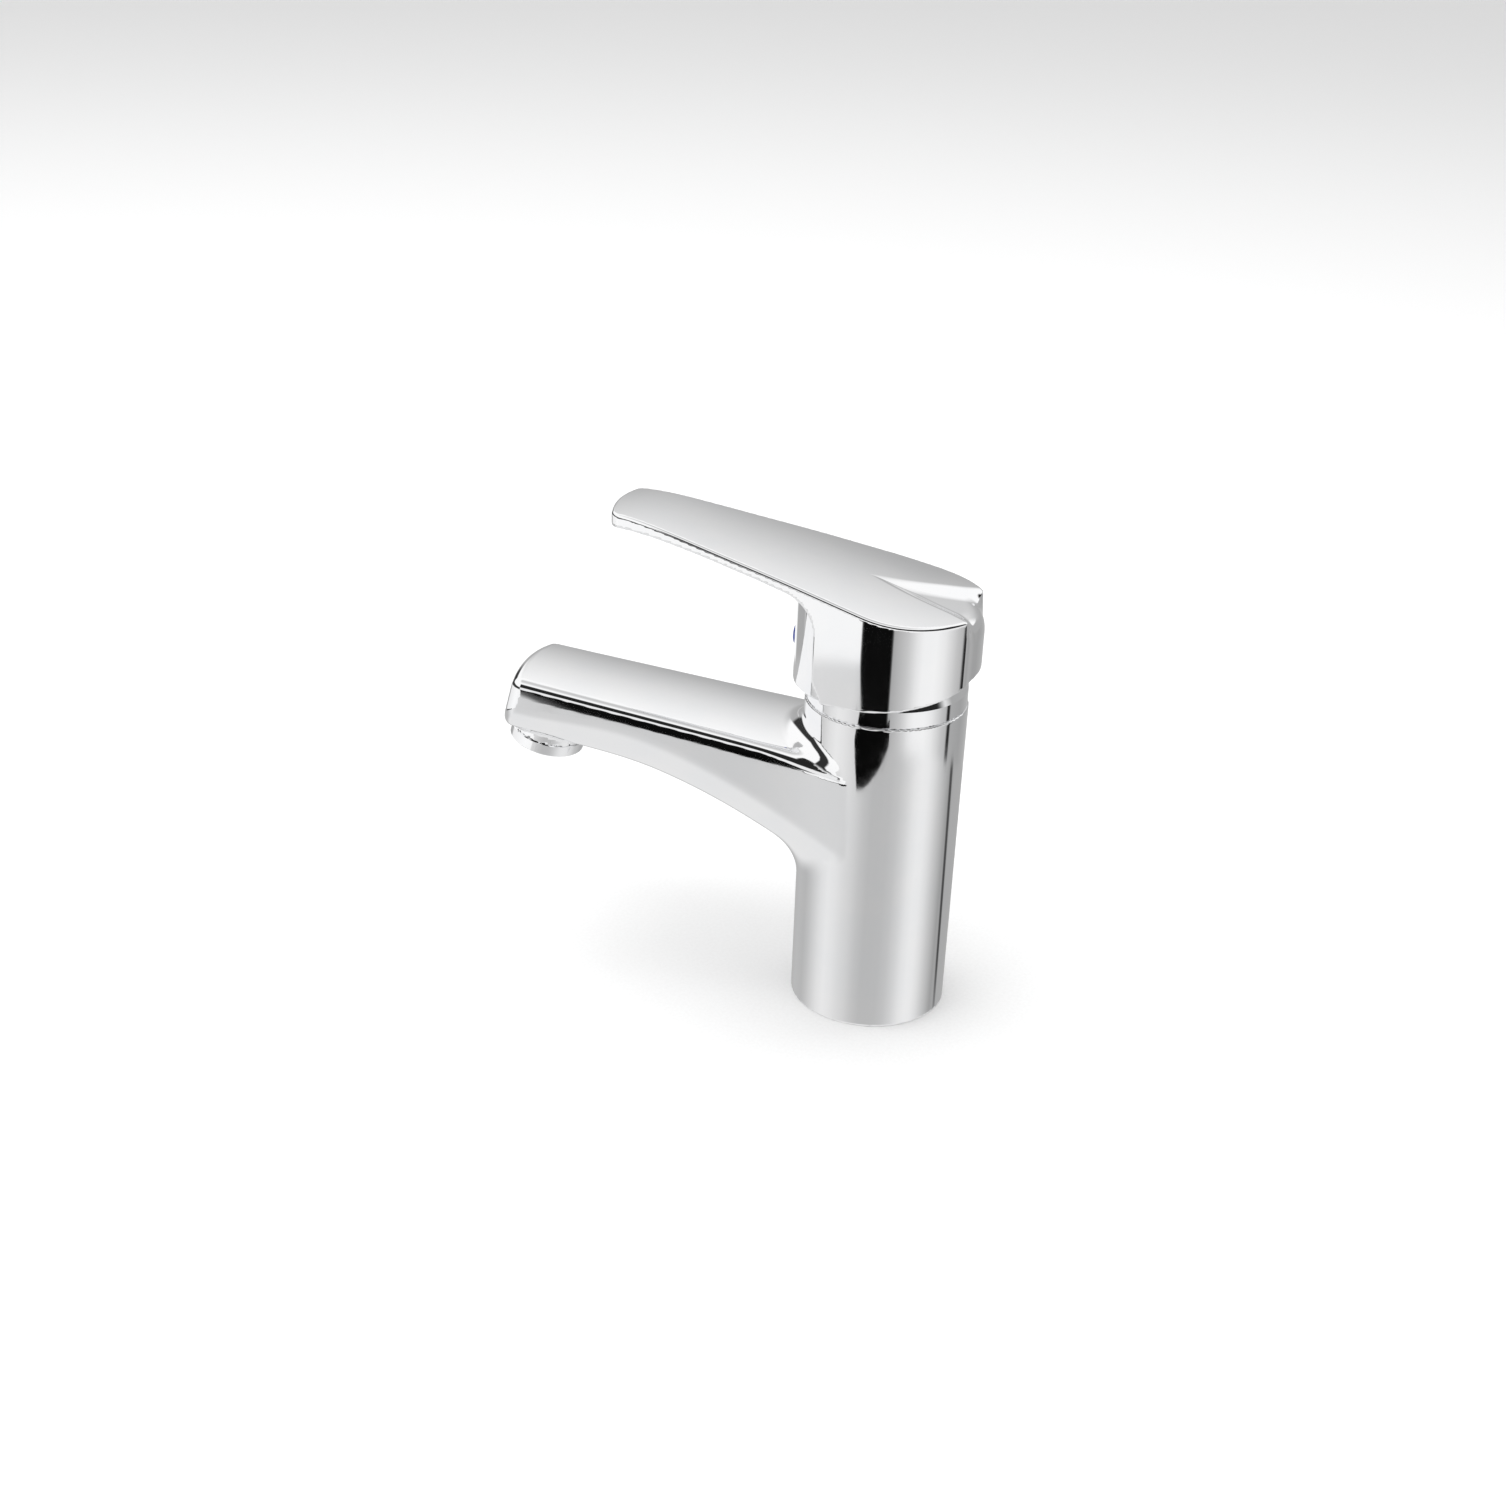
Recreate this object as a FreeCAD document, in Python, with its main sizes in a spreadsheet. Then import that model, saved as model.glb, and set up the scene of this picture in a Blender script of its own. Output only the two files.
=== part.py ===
import FreeCAD, Part
import math
import os
import re
import Sketcher
from FreeCAD import Placement, Rotation, Vector

# Single-lever basin mixer, modelled as it is assembled: a cast body with its waterways,
# a 35 mm ceramic-disc cartridge under a retaining nut and a bonnet ring, a lever handle
# on the cartridge stem, and a screw-in aerator.
#
# Frame: +Z up, origin on the body axis at the mounting face, spout along -Y.

OUT = "parts"
FULL_TURN = 360
RIGHT_ANGLE = 90
SAME_POINT = 1e-6

DIMENSIONS = [
    # body
    ("body_radius", 25.0, "radius of the body at its top"),
    ("foot_radius", 24.7, "radius of the body at the mounting face"),
    ("body_height", 103.2, "height of the body up to the bonnet ring"),
    ("chamber_floor", 72.0, "height of the floor of the cartridge chamber"),
    ("chamber_radius", 17.7, "bore around the cartridge"),
    ("nut_seat_z", 93.5, "height where the thread of the nut starts"),
    ("nut_radius", 20.0, "outer radius of the retaining nut"),
    ("ring_seat_z", 99.0, "height of the counterbore for the bonnet ring"),
    ("ring_seat_radius", 22.6, "radius of the counterbore for the bonnet ring"),
    ("thread_gap", 0.05, "radial gap of a screwed or pressed joint"),
    # spout
    ("spout_tip", 117.6, "distance of the spout tip from the body axis"),
    ("spout_tip_width", 18.0, "half width of the spout near its tip"),
    ("spout_root_width", 21.9, "half width of the spout at the body"),
    ("spout_top_root", 86.6, "height of the spout top, carried back to the body axis"),
    ("spout_rise", 0.11, "rise of the spout top for each millimetre of reach"),
    ("spout_crown", 1.6, "rise of the spout top at its middle over its sides"),
    ("spout_edge_radius", 2.6, "rounding between the top and the sides of the spout"),
    ("spout_blend_radius", 6.0, "rounding where the spout top meets the body"),
    ("tip_level", 98.0, "height about which the sections near the tip are tilted"),
    ("channel_radius", 4.6, "radius of the mixed-water channel"),
    ("channel_low_z", 53.0, "height where the channel leaves the port of the cartridge"),
    ("channel_knee", 45.0, "distance of the bend of the channel from the body axis"),
    ("channel_knee_z", 76.0, "height of the bend of the channel"),
    # aerator
    ("outlet_reach", 110.05, "distance of the aerator rim from the body axis"),
    ("outlet_z", 72.7, "height of the aerator rim"),
    ("outlet_tilt", 14.1, "tilt of the aerator axis, degrees"),
    ("aerator_radius", 12.0, "outer radius of the aerator ring"),
    ("aerator_ring_height", 4.0, "height of the visible aerator ring"),
    ("aerator_thread_radius", 10.9, "radius of the aerator thread"),
    ("aerator_thread_length", 6.0, "length of the aerator thread"),
    ("aerator_bore", 9.2, "inner radius of the aerator ring"),
    # inlets and fixing
    ("inlet_offset", 8.0, "distance of each inlet from the middle plane"),
    ("inlet_front", 4.5, "distance of the inlets in front of the body axis"),
    ("inlet_thread_radius", 4.5, "M10x1 tapping radius"),
    ("inlet_thread_depth", 18.0, "depth of the inlet threads"),
    ("inlet_channel_radius", 2.5, "radius of the inlet passages"),
    ("stud_back", 13.0, "distance of the stud hole behind the body axis"),
    ("stud_radius", 3.4, "M8 tapping radius"),
    ("stud_depth", 22.0, "depth of the stud hole"),
    ("gasket_ring_radius", 21.0, "middle radius of the base gasket"),
    ("gasket_section", 1.5, "section radius of the base gasket"),
    # cartridge
    ("base_height", 5.0, "height of the cartridge base"),
    ("cartridge_radius", 17.5, "outer radius of the cartridge"),
    ("housing_bore", 16.3, "inner radius of the cartridge housing"),
    ("housing_top", 102.4, "height of the top of the cartridge housing"),
    ("housing_lip", 2.8, "thickness of the lip of the housing"),
    ("neck_radius", 11.0, "radius of the neck of the swivel guide"),
    ("disc_height", 4.0, "thickness of each ceramic disc"),
    ("fixed_disc_radius", 16.2, "radius of the fixed disc"),
    ("moving_disc_radius", 13.2, "radius of the moving disc"),
    ("disc_rest_shift", 2.5, "offset of the moving disc when the lever is down"),
    ("pocket_length", 18.8, "length of the mixing pocket in the moving disc"),
    ("pocket_width", 11.4, "width of the mixing pocket"),
    ("pocket_front", 3.9, "distance of the front of the pocket from the middle of the disc"),
    ("pocket_roof", 1.4, "thickness of the disc over the pocket"),
    ("carrier_length", 19.4, "length of the disc carrier across the lever"),
    ("carrier_width", 18.0, "width of the disc carrier along the lever"),
    ("slide_width", 20.0, "width of the slot that steers the disc carrier"),
    ("sliding_gap", 0.35, "gap round the pieces that slide in the cartridge"),
    ("outlet_port_back", 6.5, "distance of the mixed-water port behind the axis"),
    ("pivot_z", 104.0, "height of the pivot pin"),
    ("pivot_arm", 12.0, "distance from the pivot pin to the ball of the stem"),
    ("ball_radius", 4.0, "radius of the ball of the stem"),
    ("stem_half", 4.5, "half width of the square stem"),
    ("stem_top", 128.0, "height of the top of the stem"),
    ("pin_radius", 1.5, "radius of the pivot pin"),
    # bonnet ring and nut
    ("ring_radius", 24.6, "outer radius of the bonnet ring"),
    ("ring_top", 112.0, "height of the top of the bonnet ring"),
    ("ring_opening", 16.5, "radius of the opening in the bonnet ring"),
    ("nut_flats", 33.0, "width across the flats of the nut"),
    ("nut_top", 106.5, "height of the top of the nut"),
    # handle
    ("handle_radius", 28.8, "radius of the round base of the handle"),
    ("handle_wall", 2.6, "wall of the handle skirt"),
    ("lever_tip", 86.0, "distance of the lever tip from the body axis"),
    ("lever_tip_width", 13.4, "half width of the lever near its tip"),
    ("crown_axis_z", -60.0, "height of the axis that the top of the handle is turned about"),
    ("front_step", 18.4, "distance of the front edge of the side walls from the body axis"),
    ("rim_z", 109.5, "height of the rim of the handle beside the body axis"),
    ("cavity_shoulder", 118.0, "height where the inside of the handle starts to narrow"),
    ("cavity_top", 129.0, "height of the ceiling inside the handle"),
    ("boss_half", 6.5, "half width of the boss that takes the stem"),
    ("boss_back", 7.0, "distance of the back of the boss behind the body axis"),
    ("boss_low", 112.6, "height of the underside of the boss"),
    ("scoop_apex", 5.0, "distance of the point of the scoop in front of the body axis"),
    ("scoop_width", 12.0, "half width of the scoop at the back of the handle"),
    ("screw_z", 120.0, "height of the set screw"),
    ("screw_radius", 2.5, "radius of the M5 set screw"),
    ("screw_hex", 2.5, "width across the flats of the hexagon socket of the set screw"),
    ("screw_head", 13.0, "distance of the outer end of the set screw from the body axis"),
    ("plug_radius", 3.5, "radius of the index plug"),
]

doc = FreeCAD.newDocument("basin_mixer")
dims = doc.addObject("Spreadsheet::Sheet", "dims")
for row, (alias, value, note) in enumerate(DIMENSIONS, start=1):
    dims.set(f"A{row}", alias)
    dims.set(f"B{row}", str(value))
    dims.setAlias(f"B{row}", alias)
    dims.set(f"C{row}", note)
doc.recompute()


def cells(formula):
    """Turn a formula over the sheet's aliases into a FreeCAD expression."""
    return re.sub(r"\b([a-z]\w*)\b(?!\()", r"dims.\1", str(formula))


def size(formula):
    """Value of such a formula now."""
    value = dims.evalExpression(cells(formula))
    return float(getattr(value, "Value", value))


def bind(thing, **formulas):
    """Bind properties of an object to formulas over the sheet."""
    for path, formula in formulas.items():
        thing.setExpression(path.replace("__", "."), cells(formula))


def place(thing, x=0, y=0, z=0, rotation=None):
    """Give an object a placement whose position follows the sheet."""
    thing.Placement = Placement(Vector(size(x), size(y), size(z)), rotation or Rotation())
    bind(thing, Placement__Base__x=x, Placement__Base__y=y, Placement__Base__z=z)


def new_body(label):
    body = doc.addObject("PartDesign::Body", label)
    body.Label = label
    return body


def new_feature(body, kind, name):
    """PartDesign feature that keeps its faces as they are cut, unmerged."""
    feature = body.newObject("PartDesign::" + kind, name)
    feature.Refine = False
    return feature


def new_sketch(body, plane, offset=None):
    """Sketch on one of the body's own origin planes, moved along the plane's normal."""
    role = plane + "_Plane"
    sketch = body.newObject("Sketcher::SketchObject", "Sketch")
    support = next(item for item in body.Origin.OriginFeatures if item.Role == role)
    sketch.AttachmentSupport = [(support, "")]
    sketch.MapMode = "FlatFace"
    if offset is not None:
        sketch.AttachmentOffset = Placement(Vector(0, 0, size(offset)), Rotation())
        bind(sketch, AttachmentOffset__Base__z=offset)
    return sketch


def hold(sketch, kind, *parts):
    """Add a constraint whose value is the last argument, bound to the sheet."""
    *where, formula = parts
    index = sketch.addConstraint(Sketcher.Constraint(kind, *where, size(formula)))
    sketch.setExpression(f"Constraints[{index}]", cells(formula))


def hold_point(sketch, edge, end, x, y):
    hold(sketch, "DistanceX", -1, 1, edge, end, x)
    hold(sketch, "DistanceY", -1, 1, edge, end, y)


def polygon(sketch, corners):
    """Closed outline of straight edges through corners given as formulas."""
    spots = [Vector(size(x), size(y), 0) for x, y in corners]
    for spot, following in zip(spots, spots[1:] + spots[:1]):
        sketch.addGeometry(Part.LineSegment(spot, following), False)
    last = len(spots) - 1
    for edge in range(len(spots)):
        sketch.addConstraint(Sketcher.Constraint("Coincident", edge, 2, 0 if edge == last else edge + 1, 1))
    for edge, (x, y) in enumerate(corners):
        hold_point(sketch, edge, 1, x, y)


def circle(sketch, x, y, radius):
    ring = Part.Circle(Vector(size(x), size(y), 0), Vector(0, 0, 1), size(radius))
    index = sketch.addGeometry(ring, False)
    hold_point(sketch, index, 3, x, y)
    hold(sketch, "Radius", index, radius)


def revolve(body, corners, cut=False):
    """Turn a closed outline of (radius, height) corners about the Z axis."""
    sketch = new_sketch(body, "XZ")
    polygon(sketch, corners)
    feature = new_feature(body, "Groove" if cut else "Revolution", "Turned")
    feature.Profile = sketch
    feature.ReferenceAxis = (sketch, ["V_Axis"])
    feature.Angle = FULL_TURN
    doc.recompute()
    return feature


def primitive(body, kind, x=0, y=0, z=0, rotation=None, **formulas):
    """Additive or subtractive primitive of PartDesign, such as AdditiveCylinder."""
    feature = new_feature(body, kind, kind)
    place(feature, x, y, z, rotation)
    bind(feature, **formulas)
    doc.recompute()
    return feature


def extrude(body, sketch, length, cut=False, midplane=False, backwards=False):
    feature = new_feature(body, "Pocket" if cut else "Pad", "Extruded")
    feature.Profile = sketch
    if midplane:
        feature.SideType = "Symmetric"
    feature.Reversed = backwards
    bind(feature, Length=length)
    doc.recompute()
    return feature


def round_edges(body, chosen, radius):
    """Fillet the edges of the body's last feature that a test picks."""
    tip = body.Tip
    names = [f"Edge{i}" for i, edge in enumerate(tip.Shape.Edges, start=1) if chosen(edge)]
    feature = new_feature(body, "Fillet", "Rounded")
    feature.Base = (tip, names)
    bind(feature, Radius=radius)
    doc.recompute()
    return feature


def lies_at(edge, **limits):
    """Whether the middle of an edge lies inside limits such as z=(88, 95)."""
    box = edge.BoundBox
    middle = {"x": box.Center.x, "y": box.Center.y, "z": box.Center.z}
    return all(low <= middle[axis] <= high for axis, (low, high) in limits.items())


OUTLET_AXIS = Rotation(Vector(1, 0, 0), -size("outlet_tilt"))
ALONG_Y = Rotation(Vector(1, 0, 0), -RIGHT_ANGLE)
ALONG_X = Rotation(Vector(0, 1, 0), RIGHT_ANGLE)


def on_outlet(height):
    """Position, as formulas, at a height above the rim along the aerator axis."""
    return {
        "y": f"-outlet_reach + ({height}) * sin(outlet_tilt)",
        "z": f"outlet_z + ({height}) * cos(outlet_tilt)",
    }


def at_inlet(side):
    return {"x": f"{side} * inlet_offset", "y": "-inlet_front"}


# ---------------------------------------------------------------- body casting

# distance from the body axis, height of the underside, rounding of the lower corners
# and lean of the section, degrees
SPOUT_STATIONS = [
    ("spout_tip", 84.2, 4.0, "outlet_tilt"),
    (114, 80.8, 5.0, "outlet_tilt"),
    (98, 76.6, 6.0, "outlet_tilt / 2"),
    (80, 72.6, 7.5, 0),
    (62, 67.2, 10.0, 0),
    (48, 61.6, 13.0, 0),
    (37, 54.8, 16.0, 0),
    (29, 45.5, 18.5, 0),
    (20, 34.0, 19.5, 0),
    (8, 27.0, 20.0, 0),
]


def join_ends(sketch, at_first_edge, elsewhere):
    """Join edges whose ends meet: one kind of joint at the first edge, another elsewhere."""
    ends = [(edge, end) for edge in range(sketch.GeometryCount) for end in (1, 2)]
    for index, (edge, end) in enumerate(ends):
        for other, other_end in ends[index + 1:]:
            if edge == other:
                continue
            if sketch.getPoint(edge, end).distanceToPoint(sketch.getPoint(other, other_end)) < SAME_POINT:
                joint = at_first_edge if edge == 0 else elsewhere
                sketch.addConstraint(Sketcher.Constraint(joint, edge, end, other, other_end))


def spout_section(body, station, bottom, corner, lean):
    """Section across the spout: arched top, rounded upper edges and deep lower corners."""
    narrow = f"max(0; {station} - spout_tip + 4) * 0.5"
    half = f"spout_root_width - (spout_root_width - spout_tip_width) * {station} / spout_tip - {narrow}"
    top = f"spout_top_root + spout_rise * {station} - {narrow} * 0.3 - tip_level"
    edge = "spout_edge_radius"
    low = f"{bottom} - tip_level"
    sketch = new_sketch(body, "XZ", station)
    sketch.AttachmentOffset = Placement(Vector(0, size("tip_level"), size(station)),
                                        Rotation(Vector(1, 0, 0), -size(lean)))
    bind(sketch, AttachmentOffset__Base__y="tip_level")
    w, t, b, r, crown = size(half), size(top), size(low), size(edge), size("spout_crown")
    sketch.addGeometry(Part.Arc(Vector(r - w, t, 0), Vector(0, t + crown, 0), Vector(w - r, t, 0)), False)
    sketch.addGeometry(Part.LineSegment(Vector(w, t - r, 0), Vector(w, b + corner, 0)), False)
    sketch.addGeometry(Part.LineSegment(Vector(w - corner, b, 0), Vector(corner - w, b, 0)), False)
    sketch.addGeometry(Part.LineSegment(Vector(-w, b + corner, 0), Vector(-w, t - r, 0)), False)
    diagonal = math.sqrt(0.5)
    for side, level, radius, up in ((1, t - r, r, 1), (1, b + corner, corner, -1),
                                    (-1, b + corner, corner, -1), (-1, t - r, r, 1)):
        centre = Vector(side * (w - radius), level, 0)
        sketch.addGeometry(Part.Arc(centre + Vector(side * radius, 0, 0),
                                    centre + Vector(side, up, 0) * radius * diagonal,
                                    centre + Vector(0, up * radius, 0)), False)
    join_ends(sketch, "Coincident", "Tangent")
    for side in (1, 3):
        sketch.addConstraint(Sketcher.Constraint("Vertical", side))
    sketch.addConstraint(Sketcher.Constraint("Horizontal", 2))
    for index, radius in ((4, edge), (5, corner), (6, corner), (7, edge)):
        hold(sketch, "Radius", index, radius)
    hold(sketch, "DistanceX", -1, 1, 1, 1, half)
    hold(sketch, "DistanceX", -1, 1, 3, 1, f"-({half})")
    hold(sketch, "DistanceY", -1, 1, 2, 1, low)
    for index, upper_end, sign in ((4, 2, 1), (7, 1, -1)):
        hold(sketch, "DistanceX", -1, 1, index, upper_end, f"{sign} * ({half} - {edge})")
        hold(sketch, "DistanceY", -1, 1, index, 3, f"{top} - {edge}")
    hold(sketch, "Radius", 0, f"(({half} - {edge})^2 + spout_crown^2) / (2 * spout_crown)")
    return sketch


def between(start, end):
    """Rotation that turns +Z along the line between two points in the YZ plane."""
    return Rotation(Vector(0, 0, 1), end - start)


def casting():
    """Cast brass body: column and spout in one piece, bored for the water and the cartridge."""
    body = new_body("body")
    revolve(body, [(0, 0), ("foot_radius", 0), ("body_radius", "body_height"), (0, "body_height")])
    sections = [spout_section(body, *station) for station in SPOUT_STATIONS]
    loft = new_feature(body, "AdditiveLoft", "Spout")
    loft.Profile = sections[0]
    loft.Sections = sections[1:]
    doc.recompute()
    round_edges(body, lambda edge: lies_at(edge, y=(-25, -8), z=(30, 80)), "spout_blend_radius")
    primitive(body, "AdditiveCylinder", rotation=OUTLET_AXIS, Radius="aerator_radius", Height=10,
              **on_outlet("aerator_ring_height"))
    bore_outlet(body)
    bore_channel(body)
    bore_inlets(body)
    bore_chamber(body)
    return body


def bore_outlet(body):
    """Thread for the aerator and the small chamber above it."""
    seat = "aerator_thread_length + 2"
    primitive(body, "SubtractiveCylinder", rotation=OUTLET_AXIS, Radius="aerator_thread_radius + thread_gap",
              Height=seat, **on_outlet("aerator_ring_height"))
    primitive(body, "SubtractiveCylinder", rotation=OUTLET_AXIS, Radius="aerator_bore",
              Height="aerator_thread_length + 6.5", **on_outlet("aerator_ring_height"))


def bore_channel(body):
    """Mixed-water channel: down from the cartridge, forward and up through the spout."""
    start = Vector(0, size("outlet_port_back"), size("channel_low_z"))
    knee = Vector(0, -size("channel_knee"), size("channel_knee_z"))
    end = Vector(0, -size("outlet_reach") + 4, size("outlet_z") + 14)
    primitive(body, "SubtractiveCylinder", y="outlet_port_back", z="channel_low_z", Radius="channel_radius",
              Height="chamber_floor - channel_low_z")
    for y, z, reach, rotation in (
        ("outlet_port_back", "channel_low_z", (knee - start).Length, between(start, knee)),
        ("-channel_knee", "channel_knee_z", (end - knee).Length, between(knee, end)),
    ):
        primitive(body, "SubtractiveSphere", y=y, z=z, Radius="channel_radius")
        primitive(body, "SubtractiveCylinder", y=y, z=z, rotation=rotation, Radius="channel_radius",
                  Height=reach)


def bore_inlets(body):
    """Hot and cold inlets, the stud hole and the groove of the gasket, all in the underside."""
    for side in (-1, 1):
        primitive(body, "SubtractiveCylinder", Radius="inlet_channel_radius", Height="chamber_floor",
                  **at_inlet(side))
        primitive(body, "SubtractiveCylinder", Radius="inlet_thread_radius", Height="inlet_thread_depth",
                  **at_inlet(side))
    primitive(body, "SubtractiveCylinder", y="stud_back", Radius="stud_radius", Height="stud_depth")
    inner, outer = "gasket_ring_radius - gasket_section - 0.1", "gasket_ring_radius + gasket_section + 0.1"
    depth = "2 * gasket_section"
    revolve(body, [(inner, 0), (outer, 0), (outer, depth), (inner, depth)], cut=True)


def bore_chamber(body):
    """Stepped bore for the cartridge, its nut and the bonnet ring."""
    nut = "nut_radius + thread_gap"
    revolve(body, [
        (0, "chamber_floor"),
        ("chamber_radius", "chamber_floor"),
        ("chamber_radius", "nut_seat_z"),
        (nut, "nut_seat_z"),
        (nut, "ring_seat_z"),
        ("ring_seat_radius", "ring_seat_z"),
        ("ring_seat_radius", "body_height + 1"),
        (0, "body_height + 1"),
    ], cut=True)


def base_gasket():
    body = new_body("base_gasket")
    primitive(body, "AdditiveTorus", z="gasket_section", Radius1="gasket_ring_radius",
              Radius2="gasket_section")
    return body


# ---------------------------------------------------------------- cartridge

DISC_Z = "chamber_floor + base_height"
MOVING_Z = f"{DISC_Z} + disc_height"
CARRIER_Z = f"{MOVING_Z} + disc_height"
CARRIER_HEIGHT = 10
GUIDE_LOW = 86
SEAL_HEIGHT = "1.5"
SEAL_WALL = "1.5"
PORTS = {
    "hot": {"x": "-inlet_offset", "y": "-inlet_front", "radius": "inlet_channel_radius"},
    "cold": {"x": "inlet_offset", "y": "-inlet_front", "radius": "inlet_channel_radius"},
    "mixed": {"x": 0, "y": "outlet_port_back", "radius": "channel_radius"},
}


def pierce(body, low, height, extra="0"):
    """Cut the three water ports through a piece of the cartridge."""
    for port in PORTS.values():
        primitive(body, "SubtractiveCylinder", x=port["x"], y=port["y"], z=low,
                  Radius=f"{port['radius']} + {extra}", Height=height)


def cartridge_base():
    body = new_body("cartridge_base")
    primitive(body, "AdditiveCylinder", z="chamber_floor", Radius="cartridge_radius", Height="base_height")
    pierce(body, "chamber_floor", "base_height")
    pierce(body, "chamber_floor", SEAL_HEIGHT, SEAL_WALL)
    return body


def port_seal(name):
    port = PORTS[name]
    body = new_body(f"port_seal_{name}")
    spot = {"x": port["x"], "y": port["y"], "z": "chamber_floor", "Height": SEAL_HEIGHT}
    primitive(body, "AdditiveCylinder", Radius=f"{port['radius']} + {SEAL_WALL} - thread_gap", **spot)
    primitive(body, "SubtractiveCylinder", Radius=f"{port['radius']} + 0.2", **spot)
    return body


def fixed_disc():
    body = new_body("fixed_disc")
    primitive(body, "AdditiveCylinder", z=DISC_Z, Radius="fixed_disc_radius", Height="disc_height")
    pierce(body, DISC_Z, "disc_height")
    return body


def moving_disc():
    """Disc with a mixing pocket in its underside that slides over the three ports."""
    body = new_body("moving_disc")
    primitive(body, "AdditiveCylinder", y="disc_rest_shift", z=MOVING_Z, Radius="moving_disc_radius",
              Height="disc_height")
    primitive(body, "SubtractiveBox", x="-pocket_length / 2", y="disc_rest_shift - pocket_front", z=MOVING_Z,
              Length="pocket_length", Width="pocket_width", Height="disc_height - pocket_roof")
    return body


def disc_carrier():
    """Slider on the moving disc with a socket for the ball of the stem."""
    body = new_body("disc_carrier")
    primitive(body, "AdditiveBox", x="-carrier_length / 2", y="disc_rest_shift - carrier_width / 2",
              z=CARRIER_Z, Length="carrier_length", Width="carrier_width", Height=CARRIER_HEIGHT)
    primitive(body, "SubtractiveCylinder", z="pivot_z - pivot_arm - ball_radius - sliding_gap",
              Radius="ball_radius + sliding_gap", Height=12)
    return body


def swivel_guide():
    """Guide that turns with the handle, carries the pivot pin and steers the carrier."""
    body = new_body("swivel_guide")
    flange_top = "housing_top - housing_lip - 0.3"
    revolve(body, [
        (0, GUIDE_LOW),
        ("housing_bore - 0.4", GUIDE_LOW),
        ("housing_bore - 0.4", flange_top),
        ("neck_radius", flange_top),
        ("neck_radius", "pivot_z + 3"),
        (0, "pivot_z + 3"),
    ])
    primitive(body, "SubtractiveBox", x="-slide_width / 2", y=-18, z=GUIDE_LOW, Length="slide_width",
              Width=36, Height=10)
    primitive(body, "SubtractiveBox", x="-stem_half - sliding_gap", y=-8.8, z=95,
              Length="2 * (stem_half + sliding_gap)", Width=15.7, Height=13)
    primitive(body, "SubtractiveCylinder", x="-neck_radius - 1", z="pivot_z", rotation=ALONG_X,
              Radius="pin_radius", Height="2 * neck_radius + 2")
    return body


def pivot_pin():
    body = new_body("pivot_pin")
    primitive(body, "AdditiveCylinder", x="0.4 - neck_radius", z="pivot_z", rotation=ALONG_X,
              Radius="pin_radius", Height="2 * neck_radius - 0.8")
    return body


def stem():
    """Square stem with a ball below its pivot hole."""
    body = new_body("stem")
    ball_z = "pivot_z - pivot_arm"
    primitive(body, "AdditiveSphere", z=ball_z, Radius="ball_radius")
    primitive(body, "AdditiveCylinder", z=ball_z, Radius=2.6, Height="pivot_arm - 5.5")
    primitive(body, "AdditiveBox", x="-stem_half", y="-stem_half", z="pivot_z - 6", Length="2 * stem_half",
              Width="2 * stem_half", Height="stem_top - pivot_z + 6")
    primitive(body, "SubtractiveCylinder", x="-stem_half - 1", z="pivot_z", rotation=ALONG_X,
              Radius="pin_radius + 0.05", Height="2 * stem_half + 2")
    return body


def cartridge_housing():
    """Cup over the discs whose lip holds the swivel guide down."""
    body = new_body("cartridge_housing")
    lip = "housing_top - housing_lip"
    groove_low, groove_high, groove = f"{lip} + 0.5", "housing_top - 0.5", "neck_radius + 1.8"
    opening = "neck_radius + 0.08"
    revolve(body, [
        ("housing_bore", DISC_Z),
        ("cartridge_radius", DISC_Z),
        ("cartridge_radius", "housing_top"),
        (opening, "housing_top"),
        (opening, groove_high),
        (groove, groove_high),
        (groove, groove_low),
        (opening, groove_low),
        (opening, lip),
        ("housing_bore", lip),
    ])
    return body


def neck_seal():
    body = new_body("neck_seal")
    primitive(body, "AdditiveTorus", z="housing_top - housing_lip / 2", Radius1="neck_radius + 0.9",
              Radius2=0.85)
    return body


def retaining_nut():
    body = new_body("retaining_nut")
    primitive(body, "AdditiveCylinder", z="nut_seat_z", Radius="nut_radius",
              Height="housing_top + 0.1 - nut_seat_z")
    primitive(body, "AdditivePrism", z="housing_top", Circumradius="nut_flats / sqrt(3)",
              Height="nut_top - housing_top")
    primitive(body, "SubtractiveCylinder", z="nut_seat_z", Radius="cartridge_radius + 0.1",
              Height="housing_top - nut_seat_z")
    primitive(body, "SubtractiveCylinder", z="housing_top", Radius="neck_radius + 1.2",
              Height="nut_top - housing_top")
    return body


def bonnet_ring():
    """Domed trim ring between the body and the handle."""
    body = new_body("bonnet_ring")
    spigot = "ring_seat_radius - thread_gap"
    inner = "ring_seat_radius - 2.2"
    groove, low, high = "ring_seat_radius - 1.3", "ring_seat_z + 1.3", "ring_seat_z + 2.7"
    revolve(body, [
        (inner, "ring_seat_z"),
        (spigot, "ring_seat_z"),
        (spigot, low),
        (groove, low),
        (groove, high),
        (spigot, high),
        (spigot, "body_height"),
        ("ring_radius - 0.4", "body_height"),
        ("ring_radius", "body_height + 0.4"),
        ("ring_radius", "ring_top - 3.4"),
        ("ring_radius - 1.1", "ring_top - 1.2"),
        ("ring_radius - 3.2", "ring_top"),
        ("ring_opening", "ring_top"),
        ("ring_opening", "ring_top - 2"),
        (inner, "ring_top - 3.5"),
    ])
    return body


def ring_seal():
    body = new_body("ring_seal")
    primitive(body, "AdditiveTorus", z="ring_seat_z + 2", Radius1="ring_seat_radius - 0.65", Radius2=0.6)
    return body


# ---------------------------------------------------------------- aerator

def aerator_body(label):
    """Body whose own Z axis is the aerator axis, from the rim upwards."""
    body = new_body(label)
    place(body, rotation=OUTLET_AXIS, **on_outlet(0))
    return body


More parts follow.
